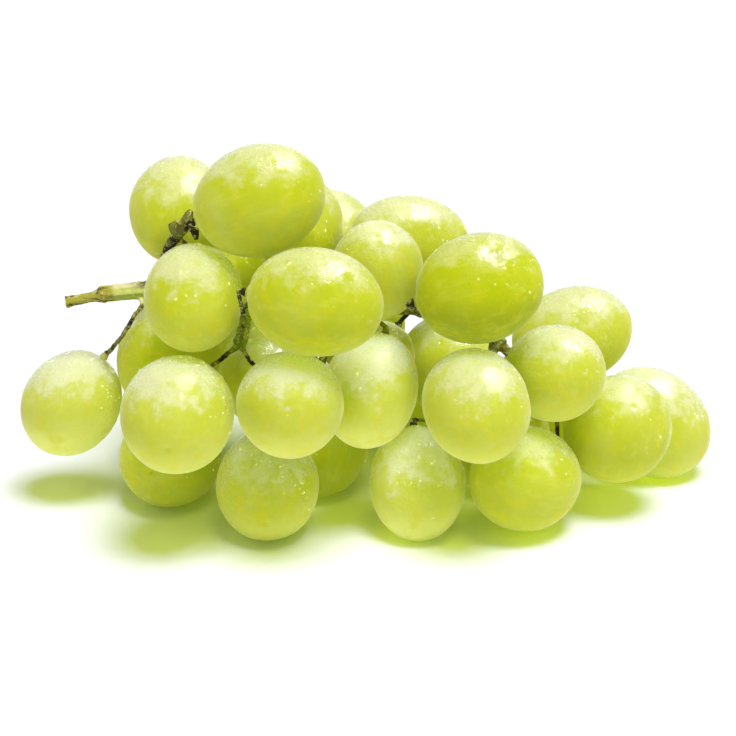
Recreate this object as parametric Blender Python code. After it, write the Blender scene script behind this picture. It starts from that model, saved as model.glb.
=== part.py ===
"""A bunch of green table grapes that lies on its side, its main stalk pointing left.

Each grape is a solid of its own. The main stalk, its side branches and the short
stalks that carry the grapes grew as one piece. Metres, +Z up, resting on z = 0."""

import math

import bmesh
import bpy
from mathutils import Vector

MM = 0.001
GAP = 0.3 * MM  # clearance left between a grape and whatever it touches
PRESS = 0.4 * MM  # how far its load flattens a grape that the bunch rests on

GRAPE_SEGMENTS = 16
GRAPE_RINGS = 9
SKIN = (0.62, 0.68, 0.10)
STALK_GREEN = (0.36, 0.38, 0.12)

SETTLE_STEPS = 80
CLEAR_STEPS = 60
STALK_EASE = 0.2  # how far a stalk's point moves towards its neighbours' middle each step

# Sizes and places are in millimetres: centre x, y and z, width, length, then the way
# the blossom end points, as a heading round from +X and a pitch above level in degrees.
HELD_UP = {
    "left_end": (-66.5, 8, 23.5, 22, 25.5, 180, -55),
    "by_stalk": (-37, -14.5, 56, 21.5, 25.5, -90, -25),
    "under_stalk": (-44.5, 6, 36, 22, 27, -160, -65),
    "top_left": (-42, 13.5, 66.5, 22, 27, 90, 25),
    "top": (-23, -11, 76.3, 24, 29, -5, 20),
    "behind_top": (-15.5, 10, 64.5, 20.5, 25, 90, 25),
    "upper_front": (-11, -27, 59.2, 23, 29, -10, -5),
    "upper_mid": (2, -2, 58, 20.5, 24.5, -90, 55),
    "upper_back": (9, 19, 58, 21, 27.5, 10, -5),
    "upper_right": (23.6, -15, 58.2, 23.8, 28, -5, 15),
    "front_left": (-40.5, -23.5, 33, 24.5, 28.5, -95, -10),
    "front_mid": (-16.4, -26.5, 36.2, 23, 27, -90, 20),
    "middle": (0.5, -9.5, 33, 21, 26.5, -110, -47),
    "front_right": (23, -23, 34.7, 23, 27.5, -75, -20),
    "right": (40.5, -8, 36.5, 21.5, 25.5, -60, 20),
    "right_back": (46, 18, 36, 22, 28.5, 15, 15),
    "right_low": (55.5, 2, 19.6, 24.2, 27, -75, 42),
    "low_right": (34.3, -11, 13, 23.5, 27.5, -130, 15),
    "inner_left": (-22.5, -1.7, 34, 21, 25, -90, -30),
    "inner_mid": (1.5, 11.5, 31.7, 17.5, 21, -125, -35),
    "inner_right": (17.8, 26, 26.8, 23, 27, 90, -20),
    "inner_back": (-26.5, 23.5, 28.5, 22.5, 26.5, 120, -55),
    "back_left": (-40, 40, 38, 22.5, 26.5, 90, -30),
    "back_high_left": (-27.5, 23, 52.5, 21, 25.5, 90, 25),
    "back_high": (-8.5, 34, 54.5, 20.5, 24, 95, 10),
    "back_mid": (-2, 34, 33, 22.5, 26.5, 95, -40),
    "back_right": (29.5, 34, 44, 20.5, 24, 75, 5),
}

# The bunch lies on these, so they have no height: each is as high as its own size puts it.
ON_THE_SURFACE = {
    "foot_left": (-22, -10.5, 23, 27.5, -90, -15),
    "foot_mid": (11, -10.5, 21.5, 26, -85, -50),
    "low_left": (-44.5, 7, 23, 26.5, -105, 5),
    "low_mid": (-11.5, 13, 23.5, 26.5, -90, -75),
    "right_end": (64.5, 23.8, 24.5, 29, -15, -35),
    "inner_low": (30.5, 14, 21, 25, 150, -45),
    "back_foot_left": (-47, 31, 22, 26, 75, -55),
    "back_foot_mid": (-17, 39, 22, 26, 105, -50),
    "back_foot_right": (10, 43.5, 22.5, 26.5, 0, -30),
    "back_foot_end": (43, 33.5, 22.5, 26.5, 85, -25),
}

# Each branch is a run of points x, y, z and the radius there, in millimetres. The first
# is the main stalk: the cut end, the swollen ring of an old joint, then the taper inside.
BRANCHES = {
    "main": (
        (-66.5, 5, 48.4, 1.5),
        (-65, 5, 48.7, 1.25),
        (-60, 5, 49.7, 1.3),
        (-58.5, 5, 50.1, 2.1),
        (-57, 5, 50.4, 1.95),
        (-48, 4.5, 51.5, 2.1),
        (-37, 4.5, 52, 2),
        (-25, 4, 49, 1.8),
        (-8, 7.5, 45.5, 1.6),
        (10, 9, 45.5, 1.5),
        (28, 4, 40, 1.3),
        (42, 7, 24, 1),
    ),
    "upper": ((-46, 4.5, 52, 1.5), (-43.5, 0, 62, 1.1), (-39.5, -2.5, 68.2, 1.5), (-38, -4, 72, 0.8)),
    "fork": ((-26, 4, 49, 1.3), (-26.5, -5, 48, 0.9), (-27.4, -13, 45.2, 1.2)),
    "middle": ((10, 9, 45.5, 1.2), (11.5, 1, 47, 0.9), (10.5, -5, 49.5, 0.9)),
    "front_right": ((28, 4, 40, 1.2), (29.5, -3, 42, 0.9), (26, -8, 40.5, 0.8)),
    "back_left": ((-30, 4.5, 50.5, 1.3), (-34, 13, 45, 1), (-38, 19.5, 31, 0.8)),
    "back": ((-12, 6.5, 46, 1.3), (-14, 16, 41, 1), (-14, 24, 33, 0.8)),
    "back_right": ((10, 9, 45.5, 1.3), (13, 18, 46, 1), (12.5, 30, 40.5, 0.8)),
    "low_left": ((-8, 7.5, 45.5, 1.3), (-10, 5, 35, 1), (-12, 5, 27, 0.8)),
    "low_right": ((28, 4, 40, 1.2), (26, 3, 29, 1), (21.5, -1.5, 22, 0.8)),
    "end": ((34, 5, 34, 1.2), (37, 13, 24.5, 1), (43, 21, 23, 0.9), (51, 24.5, 24.5, 0.8)),
}

# Bare stubs at the joint under the top grapes, where others were cut away.
STUBS = {
    "curled": (
        (-39.8, -3, 68.5, 0.7),
        (-41.1, -4, 69.6, 0.6),
        (-42.2, -4.5, 68.8, 0.9),
        (-41.6, -4.5, 67, 0.7),
    ),
    "knob": (
        (-39.3, -3, 68.2, 0.7),
        (-38.2, -3.5, 68, 0.6),
        (-37.1, -3.5, 67.4, 1.1),
        (-37, -3, 65.4, 0.8),
    ),
}

STALK_RADIUS = 0.6 * MM
CUSHION_RADIUS = 1.2 * MM  # the flared end that holds the grape
CUSHION_LENGTH = 1.6 * MM
STALK_SIDES = 6
STALK_STEPS = 2  # rings that a stalk has for each of its points
BRANCH_SIDES = 8
BRANCH_STEPS = 2

# A stalk springs from the nearest branch and takes a smooth bend. These have their own way.
STALK_STARTS = {
    "left_end": (-49.8, 3.5, 49.7),
    "front_left": (-27.4, -13, 45.2),
    "front_mid": (-27.4, -13, 45.2),
    "middle": (1, 8.4, 45.6),
    "back_foot_right": (-14, 24, 33),
}
STALK_WAYS = {
    "left_end": (
        (-49.4, 1.5, 48.7),
        (-50.9, 0, 47.2),
        (-52.2, -0.5, 45),
        (-54.7, 1.5, 40.6),
        (-56.6, 4.5, 37.5),
    ),
    "front_left": ((-32.7, -12, 40.3),),
    "front_mid": ((-25.1, -18, 42.9), (-21.5, -14.8, 38), (-18.5, -14, 34)),
    "middle": ((2.5, 3, 44.5),),
    "back_foot_right": ((-11, 31.5, 24), (-6, 41, 20.5)),
}


class Grape:
    """A spheroid: its centre, its half width and half length, and its long axis."""

    def __init__(self, place, width, length, heading, pitch):
        self.half_width = width / 2 * MM
        self.half_length = length / 2 * MM
        level = math.cos(math.radians(pitch))
        turn = math.radians(heading)
        rise = math.sin(math.radians(pitch))
        self.axis = Vector((level * math.cos(turn), level * math.sin(turn), rise))
        self.on_surface = len(place) == 2
        if self.on_surface:
            x, y = place
            self.centre = Vector((x * MM, y * MM, self.reach(Vector((0, 0, 1))) - PRESS))
        else:
            self.centre = Vector(place) * MM

    def reach(self, direction):
        """How far the grape extends from its centre along a unit direction."""
        along = self.axis.dot(direction)
        return math.sqrt(self.half_width**2 + (self.half_length**2 - self.half_width**2) * along**2)

    def stalk_end(self):
        return self.centre - self.axis * (self.half_length + GAP)

    def move(self, step):
        self.centre += Vector((step.x, step.y, 0)) if self.on_surface else step

    def push_out(self, point, clearance):
        """The point, moved out of the grape along its surface's normal where it is too near."""
        offset = point - self.centre
        along = offset.dot(self.axis)
        across = offset - self.axis * along
        normal = across / self.half_width**2 + self.axis * (along / self.half_length**2)
        size = math.sqrt((across.length / self.half_width) ** 2 + (along / self.half_length) ** 2)
        depth = self.half_width * (1 - size) + clearance
        return point + normal.normalized() * max(depth, 0)


def read_grapes():
    grapes = {}
    for name, (x, y, z, *shape) in HELD_UP.items():
        grapes[name] = Grape((x, y, z), *shape)
    for name, (x, y, *shape) in ON_THE_SURFACE.items():
        grapes[name] = Grape((x, y), *shape)
    return grapes


def smooth_run(points, steps):
    """A Catmull-Rom run through points of any dimension, with this many steps a span."""
    run = []
    last = len(points) - 1
    for i in range(last):
        before, start, end, after = (points[max(0, min(last, k))] for k in (i - 1, i, i + 1, i + 2))
        for step in range(steps):
            t = step / steps
            run.append(
                start
                + (end - before) * (t / 2)
                + (before * 2 - start * 5 + end * 4 - after) * (t * t / 2)
                + (start * 3 - before - end * 3 + after) * (t**3 / 2)
            )
    run.append(points[last])
    return run


def branch_runs():
    """Each branch as smooth (place, radius) pairs in metres."""
    runs = {}
    for name, points in BRANCHES.items():
        run = smooth_run([Vector(point) * MM for point in points], BRANCH_STEPS)
        runs[name] = [(Vector(point[:3]), point[3]) for point in run]
    return runs


def settle(grapes, runs):
    """Grapes that press on each other or on a branch slide apart until all are clear."""
    branch_points = [pair for run in runs.values() for pair in run]
    grape_list = list(grapes.values())
    for _ in range(SETTLE_STEPS):
        steps = [Vector() for _ in grape_list]
        for i, one in enumerate(grape_list):
            for k in range(i + 1, len(grape_list)):
                other = grape_list[k]
                between = other.centre - one.centre
                direction = between.normalized()
                overlap = one.reach(direction) + other.reach(direction) + GAP - between.length
                if overlap > 0:
                    steps[i] -= direction * overlap / 2
                    steps[k] += direction * overlap / 2
            for place, radius in branch_points:
                between = one.centre - place
                direction = between.normalized()
                overlap = one.reach(direction) + radius + 2 * GAP - between.length
                if overlap > 0:
                    steps[i] += direction * overlap
        for grape, step in zip(grape_list, steps):
            grape.move(step)


def nearest_on_branches(place, runs):
    points = [point for run in runs.values() for point, radius in run]
    return min(points, key=lambda point: (point - place).length)


def stalk_route(name, grapes, runs):
    """The line of a grape's own stalk, from its branch to its flared end, bent round the others."""
    grape = grapes[name]
    end = grape.stalk_end()
    neck = end - grape.axis * CUSHION_LENGTH
    start = Vector(STALK_STARTS[name]) * MM if name in STALK_STARTS else nearest_on_branches(neck, runs)
    ways = [Vector(way) * MM for way in STALK_WAYS.get(name, ())]
    ease = 0 if ways else STALK_EASE
    if not ways:
        ways = [neck - grape.axis * ((neck - start).length / 3)]
    route = smooth_run([start, *ways, neck], STALK_STEPS)
    clearance = STALK_RADIUS + 2 * GAP
    for _ in range(CLEAR_STEPS):
        for i in range(1, len(route) - 1):
            middle = (route[i - 1] + route[i + 1]) / 2
            route[i] = route[i].lerp(middle, ease)
            for other in grapes.values():
                route[i] = other.push_out(route[i], clearance)
    return [*route, end]


def mesh_object(name, mesh, collection):
    obj = bpy.data.objects.new(name, mesh)
    collection.objects.link(obj)
    return obj


def make_tube(name, points, radii, sides, collection):
    """A round tube of changing radius along the points, as a closed mesh."""
    curve = bpy.data.curves.new(name, "CURVE")
    curve.dimensions = "3D"
    curve.bevel_depth = 1
    curve.bevel_resolution = (sides - 4) // 2
    curve.use_fill_caps = True
    spline = curve.splines.new("POLY")
    spline.points.add(len(points) - 1)
    for point, place, radius in zip(spline.points, points, radii):
        point.co = (*place, 1)
        point.radius = radius
    guide = mesh_object(name + "_line", curve, collection)
    bpy.context.view_layer.update()
    mesh = bpy.data.meshes.new_from_object(guide.evaluated_get(bpy.context.evaluated_depsgraph_get()))
    bpy.data.objects.remove(guide)
    bm = bmesh.new()
    bm.from_mesh(mesh)
    bmesh.ops.remove_doubles(bm, verts=bm.verts, dist=0.001 * MM)
    bmesh.ops.recalc_face_normals(bm, faces=bm.faces)
    bm.to_mesh(mesh)
    bm.free()
    return mesh_object(name, mesh, collection)


def make_stem(grapes, runs, parts, pieces):
    """The main stalk, its branches, the bare stubs and the grapes' own stalks, grown together."""
    for name, run in runs.items():
        make_tube("branch_" + name, *zip(*run), BRANCH_SIDES, pieces)
    for name, points in STUBS.items():
        places = [Vector(point[:3]) * MM for point in points]
        make_tube("stub_" + name, places, [point[3] * MM for point in points], STALK_SIDES, pieces)
    for name in grapes:
        route = stalk_route(name, grapes, runs)
        radii = [STALK_RADIUS] * (len(route) - 1) + [CUSHION_RADIUS]
        make_tube("stalk_" + name, route, radii, STALK_SIDES, pieces)
    main = pieces.objects["branch_main"]
    pieces.objects.unlink(main)
    parts.objects.link(main)
    main.name = "stem"
    union = main.modifiers.new("Grown together", "BOOLEAN")
    union.operation = "UNION"
    union.operand_type = "COLLECTION"
    union.collection = pieces
    bpy.context.view_layer.update()
    joined = bpy.data.meshes.new_from_object(main.evaluated_get(bpy.context.evaluated_depsgraph_get()))
    main.modifiers.clear()
    main.data = joined
    for piece in list(pieces.objects):
        bpy.data.objects.remove(piece)
    return main


def make_grape(name, grape, parts):
    """A grape on its own axes, cut flat where it rests on the surface."""
    bm = bmesh.new()
    bmesh.ops.create_uvsphere(bm, u_segments=GRAPE_SEGMENTS, v_segments=GRAPE_RINGS, radius=1)
    bmesh.ops.scale(bm, vec=(grape.half_width, grape.half_width, grape.half_length), verts=bm.verts)
    turn = Vector((0, 0, 1)).rotation_difference(grape.axis)
    if grape.on_surface:
        up = turn.inverted() @ Vector((0, 0, 1))
        everything = [*bm.verts, *bm.edges, *bm.faces]
        bmesh.ops.bisect_plane(
            bm, geom=everything, plane_co=-up * grape.centre.z, plane_no=up, clear_inner=True
        )
        bmesh.ops.holes_fill(bm, edges=[edge for edge in bm.edges if edge.is_boundary])
    mesh = bpy.data.meshes.new("grape_" + name)
    bm.to_mesh(mesh)
    bm.free()
    mesh.shade_smooth()
    mesh.set_sharp_from_angle(angle=math.radians(35))
    obj = mesh_object("grape_" + name, mesh, parts)
    obj.rotation_mode = "QUATERNION"
    obj.rotation_quaternion = turn
    obj.location = grape.centre
    return obj


def paint(obj, color, roughness):
    material = bpy.data.materials.new(obj.name)
    material.use_nodes = True
    shader = material.node_tree.nodes["Principled BSDF"]
    shader.inputs["Base Color"].default_value = (*color, 1)
    shader.inputs["Roughness"].default_value = roughness
    shader.inputs["Metallic"].default_value = 0
    obj.data.materials.clear()
    obj.data.materials.append(material)


def centre_on_origin(objects, holder):
    """Moves the whole bunch so that its box is centred over the origin."""
    bpy.context.view_layer.update()
    corners = [obj.matrix_world @ vertex.co for obj in objects for vertex in obj.data.vertices]
    for axis in (0, 1):
        values = [corner[axis] for corner in corners]
        holder.location[axis] = -(min(values) + max(values)) / 2
    for obj in objects:
        obj.parent = holder


def main():
    for obj in list(bpy.data.objects):
        bpy.data.objects.remove(obj)
    parts = bpy.data.collections.new("grape bunch")
    pieces = bpy.data.collections.new("stem pieces")
    bpy.context.scene.collection.children.link(parts)
    bpy.context.scene.collection.children.link(pieces)

    grapes = read_grapes()
    runs = branch_runs()
    settle(grapes, runs)

    stem = make_stem(grapes, runs, parts, pieces)
    stem.data.shade_smooth()
    stem.data.set_sharp_from_angle(angle=math.radians(40))
    paint(stem, STALK_GREEN, 0.7)
    solids = [stem]
    for name, grape in grapes.items():
        berry = make_grape(name, grape, parts)
        paint(berry, SKIN, 0.35)
        solids.append(berry)
    holder = mesh_object("bunch", None, parts)
    centre_on_origin(solids, holder)


main()
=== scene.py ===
import math
import random

import bmesh
import bpy
import numpy as np
from mathutils import Matrix, Vector, noise


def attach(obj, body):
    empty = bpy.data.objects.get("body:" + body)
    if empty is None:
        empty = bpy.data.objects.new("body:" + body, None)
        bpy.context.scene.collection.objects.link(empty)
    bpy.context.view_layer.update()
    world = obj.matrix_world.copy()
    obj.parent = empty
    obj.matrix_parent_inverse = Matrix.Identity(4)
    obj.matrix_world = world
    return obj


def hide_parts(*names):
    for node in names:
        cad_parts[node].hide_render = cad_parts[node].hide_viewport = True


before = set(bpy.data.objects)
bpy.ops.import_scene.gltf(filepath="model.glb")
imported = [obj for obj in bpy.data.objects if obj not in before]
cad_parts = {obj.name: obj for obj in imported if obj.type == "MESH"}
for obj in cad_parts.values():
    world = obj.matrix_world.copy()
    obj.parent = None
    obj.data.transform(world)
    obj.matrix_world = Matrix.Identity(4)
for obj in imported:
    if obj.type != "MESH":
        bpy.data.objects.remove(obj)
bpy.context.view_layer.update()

MM = 0.001
scene = bpy.context.scene


# The studio: a white sweep of paper under a soft lamp, high above and a little in front
# of the bunch, in a white room. A small bright panel over its right side makes the wet
# spots sparkle. The camera looks down on the bunch.
SHEET_SIZE = 6.0
PAPER_WHITE = (0.92, 0.935, 0.975, 1)
LAMP_STRENGTH = 3.2
LAMP_SPREAD = math.radians(24)  # how wide the lamp looks from the bunch
LAMP_TILT = math.radians(18)  # towards the viewer
LAMP_TURN = math.radians(9)  # towards the right
ROOM_LIGHT = 0.17
BACKDROP_LIGHT = 1.05  # what the camera sees past the paper
GLOSS_LIGHT = 1.0  # what the skins mirror of the room
PANEL_LIGHT = 90.0
PANEL_WAY = Vector((0.39, 0.2, 0.9)).normalized()
PANEL_EDGE = (0.978, 0.992)  # cosines: the panel fades out over these angles from its middle
CAMERA_PLACE = Vector((-0.59, -571.19, 240)) * MM
CAMERA_DIP = math.radians(20)
FRAME_PIXELS = 736
FOCAL_PIXELS = 600 / 0.22  # 600 mm off, 0.22 mm a pixel
SENSOR = 36


class Value:
    """A socket that takes part in sums. Each operation adds a Math node."""

    def __init__(self, tree, socket):
        self.tree = tree
        self.socket = socket

    def math(self, operation, *numbers, clamp=False):
        node = self.tree.nodes.new("ShaderNodeMath")
        node.operation = operation
        node.use_clamp = clamp
        for socket, number in zip(node.inputs, numbers):
            if isinstance(number, Value):
                self.tree.links.new(number.socket, socket)
            else:
                socket.default_value = number
        return Value(self.tree, node.outputs[0])

    def __add__(self, other):
        return self.math("ADD", self, other)

    def __radd__(self, other):
        return self.math("ADD", other, self)

    def __sub__(self, other):
        return self.math("SUBTRACT", self, other)

    def __rsub__(self, other):
        return self.math("SUBTRACT", other, self)

    def __mul__(self, other):
        return self.math("MULTIPLY", self, other)

    def __rmul__(self, other):
        return self.math("MULTIPLY", other, self)

    def step(self, low, high):
        """Rises smoothly from 0 at low to 1 at high, or falls where low is above high."""
        share = self.math("DIVIDE", self - low, high - low, clamp=True)
        return share * share * (3 - 2 * share)


class Wiring:
    """The nodes of a material or of the room's light."""

    def __init__(self, tree):
        self.tree = tree

    def node(self, kind, settings, inputs, output=0):
        """Adds a node. Its settings come first, then the values or links of its sockets."""
        node = self.tree.nodes.new("ShaderNode" + kind)
        for key, setting in settings.items():
            setattr(node, key, setting)
        for key, value in inputs.items():
            self.set(node.inputs[key], value)
        return Value(self.tree, node.outputs[output])

    def set(self, socket, value):
        if isinstance(value, Value):
            self.tree.links.new(value.socket, socket)
        elif socket.type == "RGBA":
            socket.default_value = (*value, 1)
        else:
            socket.default_value = value


scene.view_settings.view_transform = "Standard"

bpy.ops.mesh.primitive_plane_add(size=SHEET_SIZE)
paper = bpy.context.object
paper.name = "paper_sweep"
paper_white = bpy.data.materials.new("paper_white")
paper_white.use_nodes = True
paper_shader = paper_white.node_tree.nodes["Principled BSDF"]
paper_shader.inputs["Base Color"].default_value = PAPER_WHITE
paper_shader.inputs["Roughness"].default_value = 1
paper_shader.inputs["Specular IOR Level"].default_value = 0
paper.data.materials.append(paper_white)

lamp = bpy.data.objects.new("soft_lamp", bpy.data.lights.new("soft_lamp", "SUN"))
lamp.data.energy = LAMP_STRENGTH
lamp.data.angle = LAMP_SPREAD
lamp.rotation_euler = (LAMP_TILT, LAMP_TURN, 0)
lamp.visible_glossy = False
scene.collection.objects.link(lamp)

scene.world = bpy.data.worlds.new("white_room")
scene.world.use_nodes = True
room = Wiring(scene.world.node_tree)
way = room.node("TexCoord", {}, {}, "Generated")
panel_dot = {0: way, 1: PANEL_WAY}
towards_panel = room.node("VectorMath", {"operation": "DOT_PRODUCT"}, panel_dot, "Value")
gloss = GLOSS_LIGHT + PANEL_LIGHT * towards_panel.step(*PANEL_EDGE)
plain_glow, gloss_glow, backdrop_glow = (
    room.node("Background", {}, {"Color": (1, 1, 1), "Strength": strength})
    for strength in (ROOM_LIGHT, gloss, BACKDROP_LIGHT)
)
glossy = room.node("LightPath", {}, {}, "Is Glossy Ray")
direct = room.node("LightPath", {}, {}, "Is Camera Ray")
glow = room.node("MixShader", {}, {0: glossy, 1: plain_glow, 2: gloss_glow})
glow = room.node("MixShader", {}, {0: direct, 1: glow, 2: backdrop_glow})
room.set(room.tree.nodes["World Output"].inputs["Surface"], glow)

camera = bpy.data.objects.new("camera", bpy.data.cameras.new("camera"))
camera.location = CAMERA_PLACE
camera.rotation_euler = (math.radians(90) - CAMERA_DIP, 0, 0)
camera.data.sensor_width = SENSOR
camera.data.lens = FOCAL_PIXELS / FRAME_PIXELS * SENSOR
camera.data.clip_start = 0.01
scene.collection.objects.link(camera)
scene.camera = camera


# The stem: the main stalk with its cut end and an old joint, its branches, and a short
# stalk with a flared end for every grape. It grew as one woody green piece, ribbed and
# rough, pale where it is thick and fresh, and dark and dry where it is thin. Painted light
# lies on it too: the fresh stalk's top is lightened and its underside shaded, and pale
# flecks on the dry stalks and on the cut end are partly painted highlights.
STEM_VOXEL = 0.25 * MM  # the fineness of its mesh
STEM_SMOOTHING = 4
STEM_ROUGHNESS = 0.14 * MM  # how far its warts stand out
STALK_SLIMMING = 0.03 * MM  # the bark's solid is this much fatter than the real stalks
LARGE_WART = 1.3 * MM
SMALL_WART = 0.55 * MM
FORK_SWELLING = 0.5 * MM
FORK_REACH = 2 * MM  # how far from the fork its swelling goes
SHIFT = Vector((-0.59, -7.39, 0))  # from the drawing's middle to the bunch's middle, in mm
CUT_END = (Vector((-66.5, 5, 48.4)) + SHIFT) * MM
JOINT = (Vector((-58.5, 5, 50.1)) + SHIFT) * MM
STALK_INSIDE = (Vector((-25, 4, 49)) + SHIFT) * MM
FORK = (Vector((-27.4, -13, 45.2)) + SHIFT) * MM
FORK_TOP = (Vector((-26.5, -5, 48)) + SHIFT) * MM
FLARED_END = (Vector((-59.2, 8, 34.2)) + SHIFT) * MM

DRY_BROWN = (0.20, 0.19, 0.03)
DRY_BLACK = (0.022, 0.017, 0.003)
# pale flakes of dry bark, which also stand in as painted highlights on the dark stalks
FLAKE_AND_HIGHLIGHT = (0.58, 0.54, 0.19)
FLARE_PALE = (0.62, 0.58, 0.16)
# the fresh stalk's green: its underside darkened by painted shade, its top lightened by a painted
# highlight
SHADED_STALK_UNDERSIDE = (0.36, 0.47, 0.03)
SIDE_GREEN = (0.63, 0.66, 0.17)
LIT_STALK_TOP = (0.76, 0.70, 0.38)
RIB_GREEN = (0.45, 0.47, 0.10)
OLIVE = (0.18, 0.25, 0.006)
PALE_OLIVE = (0.42, 0.43, 0.06)
GOLD = (0.42, 0.39, 0.05)
GOLD_RIB = (0.10, 0.07, 0.01)
# painted highlight: pale yellow flecks on the cut-end stub
GOLD_HIGHLIGHT_FLECK = (0.68, 0.64, 0.24)
RUST = (0.31, 0.13, 0.012)
PALE_RUST = (0.70, 0.50, 0.12)


class Finish(Wiring):
    """A material of one Principled shader, and the nodes that feed it."""

    def __init__(self, name):
        self.material = bpy.data.materials.new(name)
        self.material.use_nodes = True
        super().__init__(self.material.node_tree)
        self.shader = self.tree.nodes["Principled BSDF"]

    def wear(self, **inputs):
        """Sets the Principled shader's sockets, named with underscores."""
        for key, value in inputs.items():
            self.set(self.shader.inputs[key.replace("_", " ")], value)

    def place(self):
        """Where a point is on its piece, in metres."""
        return self.node("TexCoord", {}, {}, "Object")

    def noise(self, size, detail=2, seed=0.0, place=None, rough=0.5):
        """Soft clouds whose patches are about this size, from 0 to 1."""
        inputs = {
            "Vector": place or self.place(),
            "W": seed,
            "Scale": 1 / size,
            "Detail": detail,
            "Roughness": rough,
        }
        return self.node("TexNoise", {"noise_dimensions": "4D"}, inputs, "Fac")

    def stretch(self, place, factors):
        return self.node("VectorMath", {"operation": "MULTIPLY"}, {0: place, 1: factors})

    def mix(self, first, second, share):
        """A colour on its way from the first to the second."""
        return self.node("Mix", {"data_type": "RGBA"}, {0: share, 6: first, 7: second}, 2)

    def facing_up(self):
        """The height of the surface's normal, from -1 underneath to 1 on top."""
        normal = self.node("NewGeometry", {}, {}, "Normal")
        return self.node("SeparateXYZ", {}, {"Vector": normal}, "Z")

    def nearness(self, point, reach):
        """1 at a point of the piece, down to 0 this far from it."""
        inputs = {0: self.place(), 1: point}
        away = self.node("VectorMath", {"operation": "DISTANCE"}, inputs, "Value")
        return away.step(reach, 0)

    def line_nearness(self, start, end, reach):
        """1 on a straight line of the piece, down to 0 this far from it."""
        way = end - start
        offset = self.node("VectorMath", {"operation": "SUBTRACT"}, {0: self.place(), 1: start})
        inputs = {0: offset, 1: way / way.length_squared}
        along = self.node("VectorMath", {"operation": "DOT_PRODUCT"}, inputs, "Value")
        along = along.math("ADD", along, 0, clamp=True)
        foot = self.node("VectorMath", {"operation": "SCALE"}, {0: way, "Scale": along})
        away = self.node("VectorMath", {"operation": "DISTANCE"}, {0: offset, 1: foot}, "Value")
        return away.step(reach, 0)

    def bump(self, height, depth):
        """Relief this deep where the height goes from 0 to 1."""
        return self.node("Bump", {}, {"Height": height, "Distance": depth, "Strength": 1})

    def let_light_through(self, tint):
        """Light that falls through the piece goes on with this colour, so its shadow is tinted."""
        clear = self.node("BsdfTransparent", {}, {"Color": tint})
        to_lamp = self.node("LightPath", {}, {}, "Is Shadow Ray")
        skin = Value(self.tree, self.shader.outputs[0])
        both = self.node("MixShader", {}, {0: to_lamp, 1: skin, 2: clear})
        self.set(self.tree.nodes["Material Output"].inputs["Surface"], both)


def piece_of(name, mesh, finish):
    """A piece of the bunch, which rides with it."""
    mesh.materials.clear()
    mesh.materials.append(finish.material)
    obj = bpy.data.objects.new(name, mesh)
    scene.collection.objects.link(obj)
    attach(obj, "root")
    return obj


def grown_stem_mesh():
    """The stem's solid made fine, its angles rounded, its bark rough and warty."""
    rough = bpy.data.objects.new("stem_growth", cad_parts["stem"].data.copy())
    scene.collection.objects.link(rough)
    remesh = rough.modifiers.new("Fine", "REMESH")
    remesh.mode = "VOXEL"
    remesh.voxel_size = STEM_VOXEL
    smooth = rough.modifiers.new("Rounded", "SMOOTH")
    smooth.factor = 0.5
    smooth.iterations = STEM_SMOOTHING
    bpy.context.view_layer.update()
    finished = rough.evaluated_get(bpy.context.evaluated_depsgraph_get())
    mesh = bpy.data.meshes.new_from_object(finished)
    bpy.data.objects.remove(rough)
    normals = [vertex.normal.copy() for vertex in mesh.vertices]
    fork_way = FORK - FORK_TOP
    for vertex, normal in zip(mesh.vertices, normals):
        wart = noise.noise(vertex.co / LARGE_WART) + 0.6 * noise.noise(vertex.co / SMALL_WART)
        along = min(1, max(0, (vertex.co - FORK_TOP).dot(fork_way) / fork_way.length_squared))
        away = (vertex.co - FORK_TOP - fork_way * along).length
        swelling = FORK_SWELLING * math.exp(-((away / FORK_REACH) ** 2))
        vertex.co += normal * (wart * (STEM_ROUGHNESS + 0.4 * swelling) - STALK_SLIMMING + swelling)
    mesh.name = "stem_and_stalks"
    mesh.shade_smooth()
    return mesh


bark = Finish("stem_bark")
grain = bark.noise(0.8 * MM, detail=4)
bands = bark.noise(3.4 * MM, detail=2, seed=3)
ribs = bark.noise(0.7 * MM, detail=3, seed=8, place=bark.stretch(bark.place(), (0.12, 1, 1)))
up = bark.facing_up()
fresh = bark.line_nearness(JOINT, STALK_INSIDE, 4.8 * MM).step(0.1, 0.4)
stub = bark.line_nearness(CUT_END, JOINT, 5 * MM).step(0.1, 0.4)
ring = bark.nearness(JOINT, 2.3 * MM).step(0.1, 0.5)
forked = bark.line_nearness(FORK_TOP, FORK, 5 * MM).step(0.1, 0.5)
flared = bark.nearness(FLARED_END, 3 * MM).step(0.2, 0.6)
dry = bark.mix(DRY_BROWN, DRY_BLACK, bands.step(0.45, 0.53))
# Pale flecks on the dry stalks: partly flaking bark, partly painted highlight.
dry = bark.mix(dry, FLAKE_AND_HIGHLIGHT, 0.85 * grain.step(0.53, 0.62))
dry = bark.mix(dry, FLARE_PALE, flared)
# Painted light: the fresh stalk is darker underneath and paler on top, by which way its surface
# faces.
green = bark.mix(SHADED_STALK_UNDERSIDE, SIDE_GREEN, up.step(-0.6, 0.1))
green = bark.mix(green, LIT_STALK_TOP, up.step(0.45, 0.95))
green = bark.mix(green, RIB_GREEN, 0.35 * ribs.step(0.5, 0.62))
olive = bark.mix(OLIVE, PALE_OLIVE, grain.step(0.45, 0.65))
golden = bark.mix(GOLD, GOLD_RIB, ribs.step(0.48, 0.6))
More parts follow.
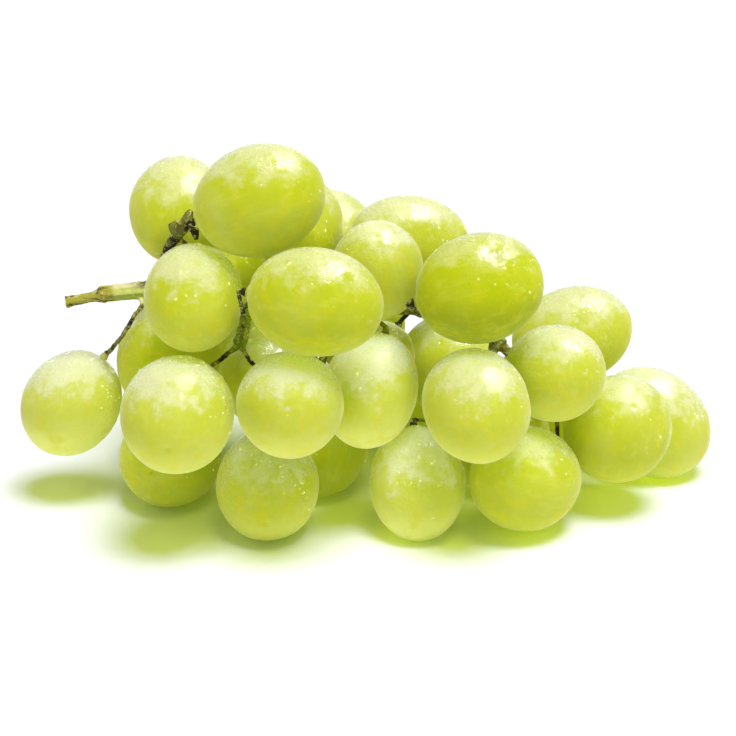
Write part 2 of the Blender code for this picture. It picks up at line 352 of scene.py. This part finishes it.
# Painted highlight: pale yellow flecks scattered over the cut-end stub by the grain.
golden = bark.mix(golden, GOLD_HIGHLIGHT_FLECK, 0.7 * grain.step(0.55, 0.66))
rust = bark.mix(RUST, PALE_RUST, grain.step(0.48, 0.6))
color = bark.mix(dry, olive, forked)
color = bark.mix(color, green, fresh)
color = bark.mix(color, golden, stub)
color = bark.mix(color, rust, ring)
bark.wear(
    Base_Color=color,
    Roughness=0.75 - 0.25 * fresh,
    Specular_IOR_Level=0.3,
    Normal=bark.bump(grain + 0.5 * ribs, 0.12 * MM),
)
stem = piece_of("stem_and_stalks", grown_stem_mesh(), bark)
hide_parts("stem")


# The grapes: oval berries of firm, see-through flesh in a thin yellow-green skin with a
# dusting of pale bloom, painted paler on their upper sides as a painted reflection of the
# bright room. Each hangs on its stalk by a small collar and ends in the scar of its
# blossom. The lowest are pressed flat where they carry the bunch. Their undersides hold
# painted shade and painted light, and their skins give off a faint painted glow.
GRAPE_SIDES = 72
GRAPE_RINGS = 60
END_DETAIL = 0.7  # how much closer the rings lie at a grape's two ends
FLAT_SPOT = 0.1 * MM  # a solid's points lower than this are on its flat spot
SEED_STEP = 7.3  # keeps one grape's markings unlike the next one's
WOBBLE = 0.35 * MM  # how far the skin sinks below an even spheroid
COLLAR_HEIGHT = 0.42 * MM
COLLAR_RADIUS = 1.3 * MM
SCAR_DEPTH = 0.3 * MM
SCAR_RADIUS = 0.8 * MM
DENT_DEPTH = 1.1 * MM
DENT_SPREAD = 0.17  # of the grape's half width
DENTS = {"grape_upper_right": Vector((0.17, -0.51, 0.85))}  # which way a dent faces

DEEP_GREEN = (0.47, 0.53, 0.0003)
MILKY_GREEN = (0.57, 0.61, 0.09)
# painted shade and painted light for the grapes' undersides
SHADED_GREEN = (0.27, 0.34, 0.0002)
UNDERSIDE_PAINTED_LIGHT = (0.86, 0.89, 0.26)
WARM_PATCH = (0.62, 0.61, 0.004)
STREAK = (0.68, 0.72, 0.12)
# the pale bloom on the skin, which also stands in as a painted reflection of the bright room
BLOOM_AND_SHEEN = (0.73, 0.75, 0.58)
SPECK_BROWN = (0.28, 0.22, 0.02)
SCAR_BROWN = (0.30, 0.24, 0.04)
SHADOW_TINT = (0.535, 0.60, 0.04)
SPECK_SPACING = 2.4 * MM
SCAR_STAIN = 0.7 * MM
LIGHT_DEPTH = 15 * MM  # how far light goes into the flesh
PAINTED_GLOW_STRENGTH = 0.09  # painted glow: the skin gives off this much light in its own colour, standing in for light carried through the flesh

# How pale a grape is, from a deep yellow-green at 0 to a milky yellow at 1. It also sets how
# much painted light brightens a grape's underside and how much painted shade darkens it, and
# the middle grape is set paler to lighten it where the lamp's light is blocked.
PALENESS = 0.4
PALENESSES = {
    "grape_left_end": 0.95,
    "grape_front_left": 0.7,
    "grape_front_mid": 0.75,
    "grape_front_right": 0.6,
    "grape_middle": 0.95,
    "grape_by_stalk": 0.5,
    "grape_top": 0.35,
    "grape_upper_front": 0.3,
    "grape_upper_mid": 0.6,
    "grape_upper_right": 0.0,
    "grape_upper_back": 0.5,
    "grape_right": 0.6,
    "grape_right_back": 0.5,
    "grape_right_end": 0.65,
    "grape_foot_left": 0.7,
    "grape_foot_mid": 0.95,
}


def measure_grape(node):
    """The centre, long axis and two half sizes of the spheroid that a grape's solid follows."""
    points = np.array([vertex.co for vertex in node.data.vertices], float) / MM
    points = points[points[:, 2] > FLAT_SPOT / MM]
    middle = points.mean(0)
    x, y, z = (points - middle).T
    terms = np.column_stack([x * x, y * y, z * z, 2 * x * y, 2 * x * z, 2 * y * z, x, y, z])
    xx, yy, zz, xy, xz, yz, *linear = np.linalg.lstsq(terms, np.ones(len(x)), rcond=None)[0]
    form = np.array([[xx, xy, xz], [xy, yy, yz], [xz, yz, zz]])
    centre = -np.linalg.solve(2 * form, linear)
    sizes, axes = np.linalg.eigh(form / (1 + centre @ form @ centre))
    half_length, *half_widths = 1 / np.sqrt(sizes)
    half_width = np.mean(half_widths) * MM
    return Vector(middle + centre) * MM, Vector(axes[:, 0]), half_width, half_length * MM


STEM_POINTS = np.array([vertex.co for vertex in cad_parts["stem"].data.vertices], float)


def away_from_stalk(centre, axis, half_length):
    """The long axis, turned so that it points to the blossom end."""
    ends = [centre + axis * half_length, centre - axis * half_length]
    near, far = (np.linalg.norm(STEM_POINTS - end, axis=1).min() for end in ends)
    return axis if near > far else -axis


def on_spheroid(way, half_width, half_length):
    """Where a point of a ball 1 in radius goes on a grape's spheroid, and the normal there."""
    surface = Vector((way.x * half_width, way.y * half_width, way.z * half_length))
    normal = Vector((way.x / half_width, way.y / half_width, way.z / half_length)).normalized()
    return surface, normal


def grape_mesh(name, half_width, half_length, seed, dent):
    """A grape on its own axes, its blossom end up."""
    bm = bmesh.new()
    bmesh.ops.create_uvsphere(bm, u_segments=GRAPE_SIDES, v_segments=GRAPE_RINGS, radius=1)
    for vertex in bm.verts:
        polar = math.acos(max(-1, min(1, vertex.co.z)))
        polar -= END_DETAIL * math.sin(2 * polar) / 2
        turn = math.atan2(vertex.co.y, vertex.co.x)
        ring = math.sin(polar)
        way = Vector((ring * math.cos(turn), ring * math.sin(turn), math.cos(polar)))
        across = half_width * ring
        lift = -WOBBLE * (0.5 + 0.5 * noise.noise(way * 1.3 + Vector((seed, 0, 0))))
        if way.z < 0:
            lift += COLLAR_HEIGHT * math.exp(-((across / COLLAR_RADIUS) ** 4))
            lift -= 0.5 * COLLAR_HEIGHT * math.exp(-(((across / COLLAR_RADIUS) - 2) ** 2))
        else:
            lift -= SCAR_DEPTH * math.exp(-((across / SCAR_RADIUS) ** 2))
        if dent:
            lift -= DENT_DEPTH * math.exp(-(((way - dent).length / DENT_SPREAD) ** 2))
        surface, normal = on_spheroid(way, half_width, half_length)
        vertex.co = surface + normal * lift
    mesh = bpy.data.meshes.new(name)
    bm.to_mesh(mesh)
    bm.free()
    mesh.shade_smooth()
    return mesh


def press_flat(mesh, placed):
    """Flattens the grape where it would sink into what it lies on."""
    for vertex in mesh.vertices:
        standing = placed @ vertex.co
        if standing.z < 0:
            standing.z = 0
            vertex.co = placed.inverted() @ standing


def grape_skin(name, half_length, seed, paleness):
    """The skin over the flesh: light goes deep into it, and its shadow is yellow-green."""
    skin = Finish(name)
    place = skin.place()
    flesh = skin.noise(9 * MM, detail=1, seed=seed)
    cloud = skin.noise(4 * MM, detail=3, seed=seed + 5, rough=0.55)
    fine = skin.noise(1.2 * MM, detail=2, seed=seed + 7)
    streaks = skin.noise(1.8 * MM, detail=2, seed=seed, place=skin.stretch(place, (1, 1, 0.16)))
    mist = skin.noise(0.5 * MM, detail=1, seed=seed + 9, rough=0.6)
    ripples = 2 * skin.noise(2 * MM, detail=1, seed=seed + 11)
    tone = (paleness + 1.4 * (flesh - 0.5)).step(-0.2, 1.2)
    color = skin.mix(DEEP_GREEN, MILKY_GREEN, tone)
    under = skin.facing_up().step(0.2, -0.5)
    # Painted shade darkens the undersides of the deeper grapes; painted light brightens the
    # undersides of the paler ones.
    color = skin.mix(color, SHADED_GREEN, 0.7 * (1 - paleness) ** 4 * under)
    color = skin.mix(color, UNDERSIDE_PAINTED_LIGHT, 0.7 * paleness**3 * under)
    color = skin.mix(color, WARM_PATCH, 0.5 * cloud.step(0.45, 0.7))
    color = skin.mix(color, STREAK, 0.22 * streaks.step(0.5, 0.7))
    # A pale veil: partly the skin's bloom and partly a painted reflection of the bright room,
    # stronger on the upper sides.
    bloom_and_sheen = skin.facing_up() + 1.5 * (cloud - 0.5) + 0.5 * (fine - 0.5)
    bloom_and_sheen = (bloom_and_sheen + 0.3 * (paleness - 0.5)).step(0.4, 0.9)
    color = skin.mix(color, BLOOM_AND_SHEEN, (0.25 + 0.45 * paleness) * bloom_and_sheen)
    rim = skin.node("LayerWeight", {}, {"Blend": 0.5}, "Facing").step(0.6, 0.95)
    wet = mist.step(0.44, 0.5) * (0.6 * flesh + bloom_and_sheen).step(0.3, 0.6)
    specks = skin.node("TexVoronoi", {}, {"Vector": place, "Scale": 1 / SPECK_SPACING}, "Distance")
    color = skin.mix(color, SPECK_BROWN, 0.35 * specks.step(0.06, 0.03) * flesh.step(0.5, 0.6))
    scar = skin.nearness((0, 0, half_length), SCAR_STAIN)
    color = skin.mix(color, SCAR_BROWN, 0.8 * scar.step(0.2, 0.7))
    skin.wear(
        Base_Color=color,
        # Painted glow: the skin gives off a faint light in its own colour.
        Emission_Color=color,
        Emission_Strength=PAINTED_GLOW_STRENGTH,
        Roughness=0.85 - 0.77 * wet,
        Subsurface_Weight=1.0,
        Subsurface_Radius=(1.0, 0.9, 0.12),
        Subsurface_Scale=LIGHT_DEPTH,
        IOR=1.38,
        Sheen_Weight=0.3,
        Sheen_Roughness=0.3,
        Coat_Weight=0.1 + 0.5 * bloom_and_sheen + 0.4 * rim,
        Coat_Roughness=0.7,
        Coat_IOR=1.6,
        Normal=skin.bump(mist + ripples, 0.16 * MM),
    )
    skin.let_light_through(SHADOW_TINT)
    return skin


berries = []
for number, node_name in enumerate(sorted(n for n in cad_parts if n.startswith("grape_"))):
    centre, axis, half_width, half_length = measure_grape(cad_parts[node_name])
    axis = away_from_stalk(centre, axis, half_length)
    placed = Matrix.Translation(centre) @ axis.to_track_quat("Z", "Y").to_matrix().to_4x4()
    dent = DENTS.get(node_name)
    if dent:
        dent = (placed.to_3x3().inverted() @ dent).normalized()
    name = node_name.replace("grape_", "berry_")
    seed = SEED_STEP * number
    mesh = grape_mesh(name, half_width, half_length, seed, dent)
    press_flat(mesh, placed)
    paleness = PALENESSES.get(node_name, PALENESS)
    skin = grape_skin(name + "_skin", half_length, seed, paleness)
    berry = piece_of(name, mesh, skin)
    berry.matrix_world = placed
    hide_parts(node_name)
    berries.append((placed, half_width, half_length))


# The dew: beads of water that lie on the upper sides of the grapes, small and close
# together in patches, with a few larger ones.
DEW_SEED = 12
DROP_TRIES = 650  # places tried on each grape
DROP_SIDES = 7
DROP_RINGS = 4
DROP_SIZE = 0.11 * MM
DROP_SPREAD = 0.5  # how unlike the drops' sizes are
DROP_LARGEST = 0.38 * MM
DROP_FLATNESS = 0.6
DEW_SIDE = Vector((0.5, -0.1, 0.85)).normalized()  # the side that the mist came from
DEW_NEEDED = (0.3, 1.1)  # a drop forms where the wetness passes a number drawn from here
PATCH_CONTRAST = 0.9  # how unlike the patches' wetness is
PATCH_CROWDING = 2.4  # how close together the patches lie


def dew_drop():
    """The corners and faces of one round drop, 1 across its radius."""
    bm = bmesh.new()
    bmesh.ops.create_uvsphere(bm, u_segments=DROP_SIDES, v_segments=DROP_RINGS, radius=1)
    corners = np.array([vertex.co for vertex in bm.verts])
    faces = [[vertex.index for vertex in face.verts] for face in bm.faces]
    bm.free()
    return corners, faces


def dew_mesh():
    """All the drops as one mesh, thickest on the side that the mist came from."""
    draw = random.Random(DEW_SEED)
    drop_corners, drop_faces = dew_drop()
    corners = []
    faces = []
    for number, (placed, half_width, half_length) in enumerate(berries):
        for _ in range(DROP_TRIES):
            height = draw.uniform(-1, 1)
            turn = draw.uniform(0, 2 * math.pi)
            ring = math.sqrt(1 - height * height)
            way = Vector((ring * math.cos(turn), ring * math.sin(turn), height))
            radius = min(DROP_LARGEST, DROP_SIZE * math.exp(abs(draw.gauss(0, DROP_SPREAD))))
            surface, normal = on_spheroid(way, half_width, half_length)
            patch = noise.noise(way * PATCH_CROWDING + Vector((number, 0, 0)))
            wet = (placed.to_3x3() @ normal).dot(DEW_SIDE) + PATCH_CONTRAST * patch
            if wet < draw.uniform(*DEW_NEEDED):
                continue
            surface -= normal * (0.5 * WOBBLE)
            if (placed @ surface).z < radius:
                continue
            lie = Matrix.Translation(surface) @ normal.to_track_quat("Z", "Y").to_matrix().to_4x4()
            bead = Matrix.Diagonal((radius, radius, DROP_FLATNESS * radius, 1))
            lie = np.array(placed @ lie @ bead)
            faces += [[len(corners) + corner for corner in face] for face in drop_faces]
            corners += (drop_corners @ lie[:3, :3].T + lie[:3, 3]).tolist()
    mesh = bpy.data.meshes.new("dew")
    mesh.from_pydata(corners, [], faces)
    mesh.shade_smooth()
    return mesh


water = Finish("dew_water")
water.wear(
    Base_Color=(1, 1, 0.7),
    # Painted glow: the beads give off a pale light of their own, so they look brighter than the
    # skin.
    Emission_Color=(0.8, 0.84, 0.35),
    Emission_Strength=0.6,
    Roughness=0.12,
    IOR=2.5,
    Alpha=0.3,
)
water.let_light_through((1, 1, 1))
dew = piece_of("dew", dew_mesh(), water)
